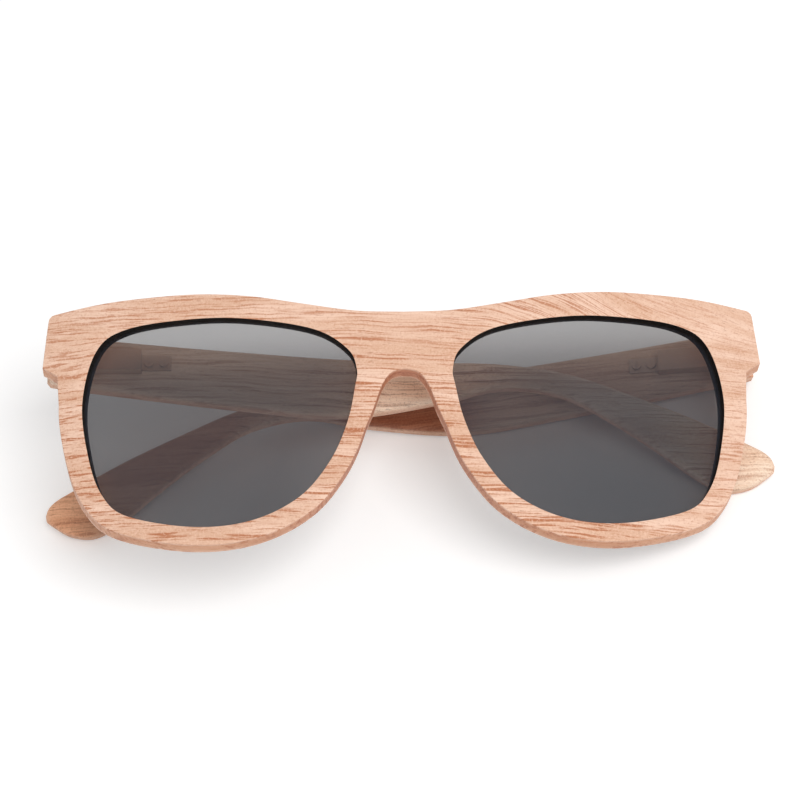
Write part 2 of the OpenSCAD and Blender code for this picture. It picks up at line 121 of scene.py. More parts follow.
# %% A socket that can be calculated with
class Socket:
    def __init__(self, tree, link=None):
        self.tree = tree
        self.link = link

    def node(self, kind, settings=None, inputs=None, out=0):
        made = self.tree.nodes.new(kind)
        for name, value in (settings or {}).items():
            setattr(made, name, value)
        for name, value in (inputs or {}).items():
            if isinstance(value, Socket):
                self.tree.links.new(value.link, made.inputs[name])
            else:
                made.inputs[name].default_value = value
        return Socket(self.tree, made.outputs[out])

    def math(self, operation, a, b=0.0):
        return self.node("ShaderNodeMath", {"operation": operation}, {0: a, 1: b})

    def __add__(self, other):
        return self.math("ADD", self, other)

    def __radd__(self, other):
        return self.math("ADD", other, self)

    def __sub__(self, other):
        return self.math("SUBTRACT", self, other)

    def __rsub__(self, other):
        return self.math("SUBTRACT", other, self)

    def __mul__(self, other):
        return self.math("MULTIPLY", self, other)

    def __rmul__(self, other):
        return self.math("MULTIPLY", other, self)

    def __lt__(self, other):
        return self.math("LESS_THAN", self, other)

    def between(self, low, high):
        settings = {"interpolation_type": "SMOOTHSTEP"}
        return self.node("ShaderNodeMapRange", settings, {"Value": self, "From Min": low, "From Max": high})

    def mixed(self, a, b):
        settings = {"data_type": "RGBA"}
        return self.node("ShaderNodeMix", settings, {0: self, 6: a, 7: b}, out=2)


# %% [markdown]
# Every finish starts the same way: a new material, its tree, and its Principled shader.
# Colours are written as they look on a screen, from 0 to 255, and turned into the linear light that a
# shader works with. A pattern has to follow the piece however it lies, so a Mapping node turns the
# object's coordinates, which are metres on the table, back into the drawing's millimetres.

# %% Helpers for the finishes
def start_material(name):
    material = bpy.data.materials.new(name)
    material.use_nodes = True
    tree = material.node_tree
    return material, Socket(tree), tree.nodes["Principled BSDF"]


def plug(socket, shader, name):
    socket.tree.links.new(socket.link, shader.inputs[name])


def linear(value):
    share = value / 255
    return share / 12.92 if value < 11 else ((share + 0.055) / 1.055) ** 2.4


def tone(red, green, blue):
    return (linear(red), linear(green), linear(blue), 1.0)


def drawn_place(at, spot, turned):
    coords = at.node("ShaderNodeTexCoord", out="Object")
    drawn = at.node("ShaderNodeMapping", {"vector_type": "TEXTURE"}, {
        "Vector": coords, "Location": spot, "Rotation": turned.to_euler(), "Scale": (MM, MM, MM)})
    split = at.node("ShaderNodeSeparateXYZ", inputs={0: drawn})
    return drawn, [Socket(at.tree, output) for output in split.link.node.outputs]


print("middle grey in linear light", round(linear(128), 3))

# %% [markdown]
# The wood is a pinkish tan with reddish streaks, and with fine dark pores that run along the grain.
# A picture of wood could be wrapped round each piece, but it would stretch at the bends and show seams.
# Noise that is stretched along the grain fills the whole solid, so the figure runs on round every edge.
# Each layer is one such noise: its scale per millimetre along the grain, across it and into the board, an
# offset that keeps the layers apart, and the two levels where it starts to show and where it is full.

# %% Layers of the grain
SWAY = {"scale": (0.02, 0.04, 0.04), "offset": 3.1}
RIPPLE = {"scale": (0.13, 0.35, 0.3), "offset": 7.7}
BANDS = {"scale": (0.012, 0.22, 0.2), "offset": 1.3, "detail": 3.0, "rough": 0.55, "levels": (0.36, 0.66)}
BOLD = {"scale": (0.03, 1.15, 0.35), "offset": 5.9, "levels": (0.60, 0.69)}
LINES = {"scale": (0.045, 2.2, 0.7), "offset": 9.4, "rough": 0.55, "levels": (0.52, 0.66)}
HAIRS = {"scale": (0.12, 5.4, 2.0), "offset": 2.2, "rough": 0.6, "levels": (0.48, 0.68)}
PORES = {"scale": (0.5, 5.8, 3.0), "offset": 4.8, "levels": (0.64, 0.71)}
SPECKLE = {"Scale": 2.4, "Detail": 3.0, "Roughness": 0.75}
speck_pale_levels, speck_red_levels = (0.5, 0.68), (0.32, 0.46)
sway_mm, ripple_mm = 6.0, 0.9
band_mm, pore_mm = (round(1 / layer["scale"][1], 2) for layer in (BANDS, PORES))
print("bands about", band_mm, "mm apart, pores", pore_mm)

# %% [markdown]
# The layers are mixed from the widest to the finest, as a painter grains a door: bands from the pale tone
# to the middle one, then hairs, lines and bold streaks in red, then the dark pores, and specks of sanding.
# A list of changes gives other tones to a part of a piece, each with a function that returns its mask.
# So one material covers a whole piece, and its tones change softly, with no seam in the grain.

# %% The wood
hair_soft, hair_red, line_red, bold_red, pore_dark = 0.5, 0.16, 0.72, 0.8, 0.5
speck_pale, speck_red = 0.55, 0.4
satin, hair_dull, pore_dull = 0.45, 0.12, 0.12
speck_rise, hair_sink, line_sink, pore_sink = 0.4, 0.4, 0.4, 0.7
bump_strength, bump_depth_m = 0.4, 0.00006


def wood(name, spot, turned, grain_axis, tones, changes=(), figure=None, drift=0.0, streak=1.0, seed=0.0):
    material, at, shader = start_material(name)
    drawn, (x, y, across) = drawn_place(at, spot, turned)
    along, depth = (x, y) if grain_axis == "x" else (y, x)
    level = across + along * drift
    if figure:
        slant, strength = figure(along, across)
        level = level + slant
        streak = streak * strength

    def noise(scale, offset, detail=2.0, rough=0.5, levels=None):
        u, v, w = scale
        point = {0: along * u + offset, 1: level * v, 2: depth * w + seed}
        vector = at.node("ShaderNodeCombineXYZ", inputs=point)
        made = at.node("ShaderNodeTexNoise", inputs={
            "Vector": vector, "Scale": 1.0, "Detail": detail, "Roughness": rough})
        return made.between(*levels) if levels else made

    level = level + (noise(**SWAY) - 0.5) * sway_mm
    level = level + (noise(**RIPPLE) - 0.5) * ripple_mm
    bands, bold, lines, hairs, pores = (noise(**layer) for layer in (BANDS, BOLD, LINES, HAIRS, PORES))
    speckle = at.node("ShaderNodeTexNoise", inputs={"Vector": drawn, **SPECKLE})

    for share, other_tones in changes:
        mask = share(along, depth)
        tones = [mask.mixed(a, b) for a, b in zip(tones, other_tones)]
    pale, mid, red, dark = tones
    colour = bands.mixed(pale, mid)
    colour = (hairs * hair_soft).mixed(colour, mid)
    colour = (hairs * streak * hair_red).mixed(colour, red)
    colour = (lines * streak * line_red).mixed(colour, red)
    colour = (bold * streak * bold_red).mixed(colour, red)
    colour = (pores * pore_dark).mixed(colour, dark)
    colour = (speckle.between(*speck_pale_levels) * speck_pale).mixed(colour, pale)
    colour = ((1.0 - speckle.between(*speck_red_levels)) * speck_red).mixed(colour, red)
    plug(colour, shader, "Base Color")
    plug(hairs * hair_dull + pores * pore_dull + satin, shader, "Roughness")
    height = speckle * speck_rise - hairs * hair_sink - lines * line_sink - pores * pore_sink
    bump = at.node("ShaderNodeBump", inputs={
        "Height": height, "Strength": bump_strength, "Distance": bump_depth_m})
    plug(bump, shader, "Normal")
    shader.inputs["Specular IOR Level"].default_value = 0.35
    print(name, len(at.tree.nodes), "nodes")
    return material


# %% [markdown]
# The board's edges are eased by hand, so the grain runs round them. The edges get browner tones than the
# face. At the nose they are browner still, and that is painted shade: the nose side and the arch lie in shade
# under the board. Two materials would meet in a hard line there. So one material has both, and how far a
# point is sunk below the bent face tells the edge from the face.
# The board's own figure slants at the right of the brow. Its streaks are boldest low down, and fade
# towards the right end.

# %% The front's wood
edge_full, back_from = 1.1, 2.8
nose_shade_full, nose_shade_end = 9, 34
slant_rise, slant_from, slant_above = 0.3, (8, 48), (6, 20)
low_more, low_span = 0.6, (-2, 16)
left_streak, end_less, end_span = 1.1, 0.55, (30, 62)


def sawn(along, depth):
    inward = front_r - depth
    sunk = front_r - along.math("SQRT", along * along + inward * inward)
    return sunk.between(0.0, edge_full) * (1.0 - sunk.between(back_from, front_t))


# Painted shade: the edges near the nose and under the arch get darker tones, as if in shade.
def shaded_nose(along, depth):
    return sawn(along, depth) * (1.0 - along.math("ABSOLUTE", along).between(nose_shade_full, nose_shade_end))


def board_figure(along, across):
    slant = along.between(*slant_from) * across.between(*slant_above) * along * slant_rise
    low = 1.0 + low_more - across.between(*low_span) * low_more
    return slant, low * (left_streak - along.between(*end_span) * end_less)


front_tones = [tone(246, 209, 186), tone(228, 184, 156), tone(190, 122, 86), tone(160, 96, 66)]
edge_tones = [tone(226, 171, 136), tone(211, 150, 113), tone(195, 128, 91), tone(170, 105, 71)]
# The nose tones are painted shade.
nose_shade_tones = [tone(208, 142, 107), tone(194, 124, 90), tone(172, 98, 66), tone(140, 80, 54)]
front_changes = [(sawn, edge_tones), (shaded_nose, nose_shade_tones)]
front_wood = wood("front_wood", place, turn, "x", front_tones, front_changes, board_figure, drift=0.04)

# %% [markdown]
# The walls of the lens openings are nearly black, as a laser leaves them. A flat black would look like a
# hole, so fine specks make it lighter and duller in places.

# %% The burnt openings
def burnt():
    material, at, shader = start_material("burnt_wood")
    coords = at.node("ShaderNodeTexCoord", out="Object")
    specks = at.node("ShaderNodeTexNoise", inputs={"Vector": coords, "Scale": 2600.0, "Detail": 3.0})
    colour = specks.between(0.45, 0.75).mixed(tone(13, 10, 9), tone(28, 20, 16))
    plug(colour, shader, "Base Color")
    plug(specks * 0.3 + 0.45, shader, "Roughness")
    shader.inputs["Specular IOR Level"].default_value = 0.25
    return material


burnt_wood = burnt()
print("finish", burnt_wood.name)

# %% [markdown]
# Wooden fronts are sawn along smooth curves. Such a line could be drawn with many points, but a few knots
# and a curve through them are easier to change. A Bezier step between each pair of knots, with handles a
# sixth of the way along their neighbours, passes through every knot and has no kinks.
# The same line is then walked in even steps, to get as many points as a stretch of the outline needs.

# %% Curves through knots
def curve_through(knots, steps, closed=False):
    count = len(knots)
    points = []
    for i in range(count if closed else count - 1):
        before = knots[(i - 1) % count] if closed else knots[max(i - 1, 0)]
        a, b = knots[i], knots[(i + 1) % count]
        after = knots[(i + 2) % count] if closed else knots[min(i + 2, count - 1)]
        points += interpolate_bezier(a, a + (b - before) / 6, b - (after - a) / 6, b, steps + 1)[:-1]
    return points if closed else points + [knots[-1]]


def even_points(line, count):
    lengths = [0.0]
    for a, b in zip(line, line[1:]):
        lengths.append(lengths[-1] + (b - a).length)
    points, k = [], 0
    for i in range(count):
        goal = lengths[-1] * i / count
        while lengths[k + 1] < goal:
            k += 1
        share = (goal - lengths[k]) / max(lengths[k + 1] - lengths[k], 1e-9)
        points.append(line[k].lerp(line[k + 1], share))
    return points


# %% [markdown]
# The lens opening is a closed curve through knots, given as shares of half the lens. It starts at the nose
# and runs over the top. The rim follows it at a distance that gets smaller from the side to below.

# %% The lens opening and the rim
LENS_KNOTS = [(-0.985, 0.276), (-1, 0.44), (-0.937, 0.638), (-0.692, 0.842), (-0.2, 0.972), (0.22, 1),
              (0.691, 0.946), (0.907, 0.753), (1, 0.26), (0.946, -0.27), (0.84, -0.64), (0.654, -0.854),
              (0.18, -0.995), (-0.235, -0.962), (-0.578, -0.757), (-0.801, -0.421), (-0.927, -0.056)]
STEPS = 8
SIDE, LOWER, NOSE = 8 * STEPS, 11 * STEPS, 16 * STEPS


def flat(x, z):
    return Vector((x, 0, z))


def grown(loop, widths):
    count = len(loop)
    moved = []
    for i, p in enumerate(loop):
        way = (loop[(i + 1) % count] - loop[i - 1]).normalized()
        moved.append(p + widths[i] * Vector((-way.z, 0, way.x)))
    return moved


lens_knots = [flat(lens_x + u * lens_w / 2, v * lens_h / 2) for u, v in LENS_KNOTS]
lens_loop = curve_through(lens_knots, STEPS, True)
rim_ease = [min(max((i - SIDE) / (LOWER - SIDE), 0), 1) for i in range(len(lens_loop))]
rim_loop = grown(lens_loop, [rim_side_w + (rim_w - rim_side_w) * ease for ease in rim_ease])
print("points round a lens", len(lens_loop))

# %% [markdown]
# The outline of half the front runs from the nose up the arch, along the middle, over the brow, round the
# endpiece, and back along the rim. It gets exactly as many points as the opening, so that a bridge between
# the two loops is one row of quads. The lower end of the endpiece is lifted by a little more than half
# a millimetre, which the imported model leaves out.

# %% Outline of half the front
BROW_KNOTS = [(0, 0.07), (0.19, 0.4), (0.374, 0.77), (0.56, 0.98), (0.74, 1)]
ARCH_KNOTS = [(0.656, 0.65), (0.49, 0.286), (0.281, 0.056), (0, 0)]
brow_end_share = 0.94
endpiece_slant, endpiece_ease, endpiece_lift = 1.1, 2.2, 0.6
arch_points, middle_points, brow_points = 14, 8, 38
end_points, low_points, inner_points = 6, 2, 4

brow_knots = [flat(0, bridge_top_z)]
brow_knots += [flat(half_bridge + u * lens_w, bridge_top_z + v * bridge_dip) for u, v in BROW_KNOTS]
brow_knots += [flat(half_bridge + brow_end_share * lens_w, brow_z - endpiece_drop / 4)]
top_corner = flat(half_w - endpiece_slant, endpiece_top_z)
low_corner = flat(half_w, endpiece_low_z + endpiece_lift)
inner_corner = flat(rim_out_x + endpiece_ease / 5, endpiece_low_z + endpiece_lift - endpiece_ease)
arch_knots = [rim_loop[NOSE]]
arch_knots += [flat(u * half_bridge, arch_z - v * bridge_h) for u, v in ARCH_KNOTS]
outline = even_points(curve_through(arch_knots, STEPS), arch_points)
outline += even_points([flat(0, arch_z), flat(0, bridge_top_z)], middle_points)
outline += even_points(curve_through(brow_knots + [top_corner], STEPS), brow_points)
outline += even_points([top_corner, low_corner], end_points)
outline += even_points([low_corner, inner_corner], low_points)
outline += even_points([inner_corner, rim_loop[SIDE]], inner_points)
outline += rim_loop[SIDE:NOSE]
inner_line = lens_loop[NOSE:] + lens_loop[:NOSE]
print("points", len(outline), len(inner_line))

# %% [markdown]
# The front is one board with two openings. It could be cut with booleans, but those leave long thin faces,
# which shade badly once the board is bent. Here half of it is a ring of wood round one opening: the opening
# and the outline are bridged, cut twice across, and mirrored, which gives clean quads all over.
# The points on the opening are marked, so that its walls can be found again later.

# %% The flat front
cuts_across = 2
weld = 1e-4


def add_ring(bm, points):
    verts = [bm.verts.new(p) for p in points]
    return [bm.edges.new((a, b)) for a, b in zip(verts, verts[1:] + verts[:1])]


def everything(bm):
    return bm.verts[:] + bm.edges[:] + bm.faces[:]


def flat_front():
    bm = bmesh.new()
    on_lens = bm.verts.layers.int.new("on_lens")
    opening = add_ring(bm, inner_line)
    for edge in opening:
        for vert in edge.verts:
            vert[on_lens] = 1
    loops = opening + add_ring(bm, outline)
    bmesh.ops.bridge_loops(bm, edges=loops)
    spokes = [edge for edge in bm.edges if edge not in loops]
    bmesh.ops.subdivide_edges(bm, edges=spokes, cuts=cuts_across, use_grid_fill=True)
    for vert in bm.verts:
        at_border = any(edge.is_boundary for edge in vert.link_edges)
        vert[on_lens] = int(at_border and vert[on_lens] == 1)
    bmesh.ops.mirror(bm, geom=everything(bm), axis="X", merge_dist=weld)
    bmesh.ops.remove_doubles(bm, verts=bm.verts[:], dist=weld)
    bmesh.ops.recalc_face_normals(bm, faces=bm.faces[:])
    print("flat front", len(bm.faces), "faces")
    return bm


# %% [markdown]
# The board gets its thickness by an extrusion. Its sides are then told apart by a number on each face:
# the walls of the openings, the outer edge, and the two broad faces.
# The walls are cut where the lens sits, and the openings get a little wider behind it, so that only a thin
# black line shows from the front. The walls are also drawn in towards the back, because that way they stand
# square to the board after it is bent.

# %% Thickness and openings
FACE, WALL, EDGE = 0, 1, 2
lens_set = 1.8
back_flare = 0.65


def thicken(bm, depth):
    made = bmesh.ops.extrude_face_region(bm, geom=bm.faces[:])
    back = [item for item in made["geom"] if isinstance(item, bmesh.types.BMVert)]
    bmesh.ops.translate(bm, verts=back, vec=(0, depth, 0))


def tell_sides(bm):
    on_lens = bm.verts.layers.int["on_lens"]
    for face in bm.faces:
        if abs(face.normal.y) < 0.5:
            face.material_index = WALL if all(vert[on_lens] for vert in face.verts) else EDGE


def on_wall(item):
    return any(face.material_index == WALL for face in item.link_faces)


def widen_openings(bm):
    walls = [face for face in bm.faces if face.material_index == WALL]
    borders = [edge for edge in bm.edges if on_wall(edge)]
    corners = [vert for vert in bm.verts if on_wall(vert)]
    bmesh.ops.bisect_plane(bm, geom=walls + borders + corners, dist=weld,
                           plane_co=(0, lens_set, 0), plane_no=(0, 1, 0))
    for vert in bm.verts:
        if on_wall(vert):
            if vert.co.y > front_t / 2:
                vert.co.z *= 1 + 2 * back_flare / lens_h
            vert.co.x *= 1 - vert.co.y / front_r


# %% [markdown]
# A sanded board has no sharp edge. The corners of the endpieces are rounded most, then the outer edge, and
# the openings only just. A Bevel modifier would have one width for all of them, so the bevel operator is
# used, once for each group of edges. The groups are found by the numbers on the faces.

# %% Eased edges
corner_r, corner_steps = 1.2, 3
edge_r, edge_steps = 1.15, 6
wall_r, wall_steps = 0.16, 2
corner_turn, corner_reach = 0.5, 1.0


def eased(bm, edges, radius, segments):
    bmesh.ops.bevel(bm, geom=edges, offset=radius, segments=segments, affect="EDGES", profile=0.5,
                    material=-1, clamp_overlap=True)


def is_end_corner(edge):
    a, b = edge.verts
    through_board = abs((a.co - b.co).y) > front_t / 8
    is_sharp = edge.calc_face_angle(0) > corner_turn
    return through_board and is_sharp and a.co.z > endpiece_top_z - corner_reach


def border_of(bm, index):
    found = []
    for edge in bm.edges:
        sides = {face.material_index for face in edge.link_faces}
        if len(sides) > 1 and index in sides:
            found.append(edge)
    return found


def ease_edges(bm):
    corners = [edge for edge in bm.edges if is_end_corner(edge)]
    print("open edges", sum(edge.is_boundary for edge in bm.edges), "corners", len(corners))
    eased(bm, corners, corner_r, corner_steps)
    eased(bm, border_of(bm, EDGE), edge_r, edge_steps)
    eased(bm, border_of(bm, WALL), wall_r, wall_steps)


# %% [markdown]
# Last the board is bent, as the real one is, round an upright axis far behind it. Every layer of the board
# comes to lie on a circle round that axis, and no point moves sideways, so the width stays as drawn.
# Every piece then goes through one function: doubles are merged, the faces turned outwards, and the mesh
# laid on the table, so that the object itself stays at the origin.

# %% The front board
def bent(co):
    return Vector((co.x, front_r - sqrt((front_r - co.y) ** 2 - co.x ** 2), co.z))


def make_piece(name, bm, body, materials, sharp_deg=35):
    bmesh.ops.remove_doubles(bm, verts=bm.verts[:], dist=weld / 10)
    bmesh.ops.recalc_face_normals(bm, faces=bm.faces[:])
    bmesh.ops.transform(bm, matrix=laid, verts=bm.verts[:])
    mesh = bpy.data.meshes.new(name)
    bm.to_mesh(mesh)
    bm.free()
    for face in mesh.polygons:
        face.use_smooth = True
    mesh.set_sharp_from_angle(angle=radians(sharp_deg))
    for material in materials:
        mesh.materials.append(material)
    piece = bpy.data.objects.new(name, mesh)
    bpy.context.scene.collection.objects.link(piece)
    if body:
        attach(piece, body)
    print(name, len(mesh.polygons), "faces")
    return piece


def front_board():
    bm = flat_front()
    thicken(bm, front_t)
    bmesh.ops.recalc_face_normals(bm, faces=bm.faces[:])
    tell_sides(bm)
    widen_openings(bm)
    ease_edges(bm)
    for vert in bm.verts:
        vert.co = bent(vert.co)
    for face in bm.faces:
        if face.material_index == EDGE:
            face.material_index = FACE
    return bm


front = make_piece("front_board", front_board(), "front", [front_wood, burnt_wood])
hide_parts("front_frame")

# %% [markdown]
# The lenses are grey tinted plastic. Glass shading would need many light bounces and makes its shadow dark,
# so the tint is see-through by its Alpha: each face lets part of the light pass. The tint is painted a little
# clearer towards the top: painted light, for the lit table that shows through the top of the lens, while the
# table under its lower part lies in shadow.

# %% The tint
lens_alpha = 0.51
painted_clear_low, painted_clear_low_span = 0.05, (-18, 8)
painted_clear_top, painted_clear_top_span = 0.17, (8, 21)


def tinted():
    material, at, shader = start_material("lens_grey")
    coords = at.node("ShaderNodeTexCoord", out="Object")
    haze = at.node("ShaderNodeTexNoise", inputs={"Vector": coords, "Scale": 90.0, "Detail": 2.0})
    plug(haze.mixed(tone(45, 50, 60), tone(50, 55, 65)), shader, "Base Color")
    plug(haze * 0.03 + 0.05, shader, "Roughness")
    height = drawn_place(at, place, turn)[1][2]
    # Painted light: the lens is made clearer higher up, for the lit table seen behind it.
    painted_light_clearing = height.between(*painted_clear_low_span) * painted_clear_low + height.between(*painted_clear_top_span) * painted_clear_top
    plug(lens_alpha - painted_light_clearing, shader, "Alpha")
    shader.inputs["Specular IOR Level"].default_value = 0.5
    return material


lens_grey = tinted()
print("finish", lens_grey.name)

# %% [markdown]
# Each lens is a thin sheet with the front's own bend, and its edge sits in the groove of the rim.
# One big face can't follow a bend. So the flat plate is first cut upright at the points of its outline,
# and the narrow strips are then bent as the front is.

# %% The lenses
lens_t, lens_bite, groove_play = 1.6, 0.9, 0.05
strip_least = 0.15


def lens_sheet(side):
    bm = bmesh.new()
    edge = grown(lens_loop, [lens_bite - groove_play] * len(lens_loop))
    bmesh.ops.contextual_create(bm, geom=add_ring(bm, edge))
    places = sorted(p.x for p in edge)
    cuts = [b for a, b in zip(places, places[1:]) if b - a > strip_least]
    for x in cuts:
        bmesh.ops.bisect_plane(bm, geom=everything(bm), dist=weld, plane_co=(x, 0, 0), plane_no=(1, 0, 0))
    bmesh.ops.translate(bm, verts=bm.verts[:], vec=(0, lens_set, 0))
    if side == LEFT:
        bmesh.ops.scale(bm, vec=(-1, 1, 1), verts=bm.verts[:])
    thicken(bm, lens_t)
    for vert in bm.verts:
        vert.co = bent(vert.co)
    return bm


for side, word in SIDES:
    sheet = make_piece(word + "_lens_sheet", lens_sheet(side), "front", [lens_grey])
    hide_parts(word + "_lens")

# %% [markdown]
# A temple runs straight from the hinge, swells to a belly, narrows to a neck over the ear and ends in a
# paddle. It could be a bevelled plate, but the real one also bows inwards and gets thinner. So it is lofted:
# rounded oblong sections stand along its length. Each row below gives a section's place as a share of the
# length, its drop as a share of the whole drop, its height, and its slant in degrees.

# %% Sections of a temple
temple_l, temple_tip_t, temple_round, temple_bow, temple_drop = 141.4, 3.6, 1.1, 5.6, 26.4
front_h, belly_h, neck_h, paddle_h = 10.8, 12.4, 4.8, 11.4
butt_gap, butt_rise = 0.15, 0.065
SECTION_STEPS = 5


def mix(a, b, share):
    return a + (b - a) * share


SECTIONS = [
    (-(pin_back - butt_gap) / temple_l, -butt_rise, front_h, 0),
    (0.107, 0.041, mix(front_h, belly_h, 0.46), 0),
    (0.25, 0.131, mix(front_h, belly_h, 0.94), 0),
    (0.389, 0.199, belly_h, 0),
    (0.525, 0.169, mix(neck_h, belly_h, 0.52), 0),
    (0.621, 0.134, mix(neck_h, belly_h, 0.04), 8),
    (0.71, 0.225, neck_h, 26),
    (0.786, 0.43, mix(neck_h, paddle_h, 0.3), 36),
    (0.853, 0.648, mix(neck_h, paddle_h, 0.68), 35),
    (0.909, 0.856, paddle_h, 31),
    (0.945, 0.972, 0.99 * paddle_h, 26),
    (0.973, 1, 0.74 * paddle_h, 20),
    (0.992, 0.99, 0.4 * paddle_h, 14),
    (1, 1, 0.13 * paddle_h, 10)]
spine = curve_through([Vector((s[0] * temple_l, -s[1] * temple_drop, 0)) for s in SECTIONS], SECTION_STEPS)
girth = curve_through([Vector((s[2], s[3], 0)) for s in SECTIONS], SECTION_STEPS)
print("sections", len(spine))

# %% [markdown]
# One section is a rectangle with four round corners, drawn as four quarter circles.
# Towards the tip the sections get thin on a circle's line, so the paddle's end is rounded all round.
# The first one leans, because the temple's butt end meets the slope of the bent front when it is open.

# %% One section of a temple
CORNER_POINTS = 6
corner_fullest = 0.9
tip_from, tip_least = 0.965, 0.04
bow_y = 0.28 * temple_l


def thickness(y):
    return temple_t + (temple_tip_t - temple_t) * max(y, 0) / temple_l


def tip_ease(y):
    past = max(y / temple_l - tip_from, 0) / (1 - tip_from)
    return sqrt(max(1 - past ** 2, tip_least))


def section(i):
    y, z = spine[i].x, spine[i].y
    half_h, slant = girth[i].x / 2, radians(girth[i].y)
    half_t = thickness(y) / 2 * tip_ease(y)
    round_r = min(temple_round, corner_fullest * half_h, corner_fullest * half_t)
    bow = temple_bow * (max(y - bow_y, 0) / (temple_l - bow_y)) ** 2
    points = []
    for corner, (right, up) in enumerate(((1, 1), (-1, 1), (-1, -1), (1, -1))):
        for k in range(CORNER_POINTS):
            angle = pi / 2 * (corner + k / (CORNER_POINTS - 1))
            aside = right * (half_t - round_r) + round_r * cos(angle)
            rise = up * (half_h - round_r) + round_r * sin(angle)
            x = pin_in + thickness(y) / 2 + aside - bow
            along = y + rise * sin(slant)
            if i == 0:
                along = (-pin_back + butt_gap) / cos(seat_turn) + x * tan(seat_turn)
            points.append(Vector((x, along, z + rise * cos(slant))))
    return points


print("points round a section", len(section(0)))

# %% [markdown]
# The sprung hinge is let into the temple's inner face. The wood has a pocket for the spring box, a narrower
# one for its screw tab, and room for the barrels and for the leaf on the front. Such pockets have straight
# sides, so plain blocks, placed from the pin, are cut out of the lofted shape by a boolean.

# %% Blocks and cuts
def add_block(bm, low, high, turned=0.0):
    made = bmesh.ops.create_cube(bm, size=1.0)["verts"]
    size = Vector(high) - Vector(low)
    middle = (Vector(high) + Vector(low)) / 2
    shape = Matrix.Rotation(turned, 4, "Z") @ Matrix.Translation(middle) @ Matrix.Diagonal((*size, 1))
    bmesh.ops.transform(bm, matrix=shape, verts=made)


def cut_out(bm, blocks):
    shapes = []
    for name, part in (("whole", bm), ("blocks", blocks)):
        bmesh.ops.recalc_face_normals(part, faces=part.faces[:])
        mesh = bpy.data.meshes.new(name)
        part.to_mesh(mesh)
        part.free()
        shapes.append(bpy.data.objects.new(name, mesh))
        bpy.context.scene.collection.objects.link(shapes[-1])
    cutter = shapes[0].modifiers.new("pockets", "BOOLEAN")
    cutter.operation = "DIFFERENCE"
    cutter.solver = "EXACT"
    cutter.use_self = True
    cutter.object = shapes[1]
    result = bmesh.new()
    result.from_object(shapes[0], bpy.context.evaluated_depsgraph_get())
    for shape in shapes:
        mesh = shape.data
        bpy.data.objects.remove(shape)
        bpy.data.meshes.remove(mesh)
    print("cut shape", len(result.faces), "faces")
    return result


# %% [markdown]
# The temple is drawn in the hinge's own frame, with the pin at the origin and y along the temple.
# One function gives the way from there to the front's drawing, folded and, on the left, mirrored.
# So both temples come from the same sections and the same blocks.

# %% The shape of a temple
barrel_r, barrel_h, barrel_gap, pin_head_h = 1.6, 1.5, 0.05, 0.6
box_gap, box_t, box_l, touch = 0.3, 3.0, 13.6, 0.02
stack_h = 3 * barrel_h + 2 * barrel_gap
tab_l, tab_step = 6.0, 0.7
tab_h = stack_h - 2 * tab_step
leaf_clear, leaf_w, leaf_h, leaf_t, leaf_sink, head_h = 0.3, 3.0, 10.0, 1.0, 0.8, 0.45
leaf_right = pin_in - leaf_clear
leaf_floor_y = -pin_back - leaf_sink


def hinge_place(side):
    mirrored = Matrix.Diagonal((side, 1, 1, 1))
    return Matrix.Translation((side * pin_x, pin_y, pin_z)) @ mirrored @ Matrix.Rotation(folds[side], 4, "Z")


def hinge_pockets():
    blocks = bmesh.new()
    add_block(blocks, (-box_t, -2 * pin_back, -stack_h / 2 - box_gap),
              (barrel_r + box_gap, barrel_r + box_gap, stack_h / 2 + pin_head_h + box_gap))
    add_block(blocks, (-box_t, 0, -stack_h / 2 - touch), (box_t / 2, box_l + touch, stack_h / 2 + touch))
    add_block(blocks, (-box_t, 0, -tab_h / 2 - touch), (box_t / 2, box_l + tab_l + touch, tab_h / 2 + touch))
    leaf_low = (leaf_right - leaf_w - box_gap, leaf_floor_y, -leaf_h / 2 - box_gap)
    leaf_high = (leaf_right + box_gap, leaf_floor_y + leaf_t + head_h + box_gap, leaf_h / 2 + box_gap)
    add_block(blocks, leaf_low, leaf_high, seat_turn)
    return blocks


def temple_shape(side):
    bm = bmesh.new()
    rings = [add_ring(bm, section(i)) for i in range(len(spine))]
    for a, b in zip(rings, rings[1:]):
        bmesh.ops.bridge_loops(bm, edges=a + b)
    for ring in (rings[0], rings[-1]):
        bmesh.ops.contextual_create(bm, geom=ring)
    bm = cut_out(bm, hinge_pockets())
    bmesh.ops.transform(bm, matrix=hinge_place(side), verts=bm.verts[:])
    return bm


# %% [markdown]
# The temples' wood varies, and their inner faces carry painted shade and light. The inner faces are darker
# and greyer than the wood, as painted shade behind the lenses and under the front. The right one's belly is
# painted dark, as painted shade under the bridge and the left one, and the left one's belly is painted
# lighter, as painted light. The right one's neck is darker, partly its wood and partly painted shade from the
# front above, and its paddle is browner wood. A material for each stretch would show seams.
# So each tone has a mask along the temple, in millimetres from the pin: where it starts, where it is full,
# where it begins to fade and where it ends. The outer faces and the edges have nearly the front's tones,
# and are found by the distance from the inner face, which follows the bow.

# %% The temples
past_tip = (200, 210)
belly_light_and_shade_span = (46, 60, 80, 96)
neck_wood_and_shade_span = (92, 106, *past_tip)
butt_span = (-20, -19, -4, 2)
tip_start, tip_fade = {LEFT: 114, RIGHT: 126}, 12
outer_from, outer_full = 0.1 * temple_t, 0.5 * temple_t


def stretch(start, full, still, end):
    return lambda along, depth: along.between(start, full) * (1.0 - along.between(still, end))


def outer_face(side):
    def share(along, depth):
        past = along.math("MAXIMUM", along - bow_y, 0.0) * (1 / (temple_l - bow_y))
        reach = depth * side + past * past * temple_bow - pin_in
        return reach.between(outer_from, outer_full)
    return share


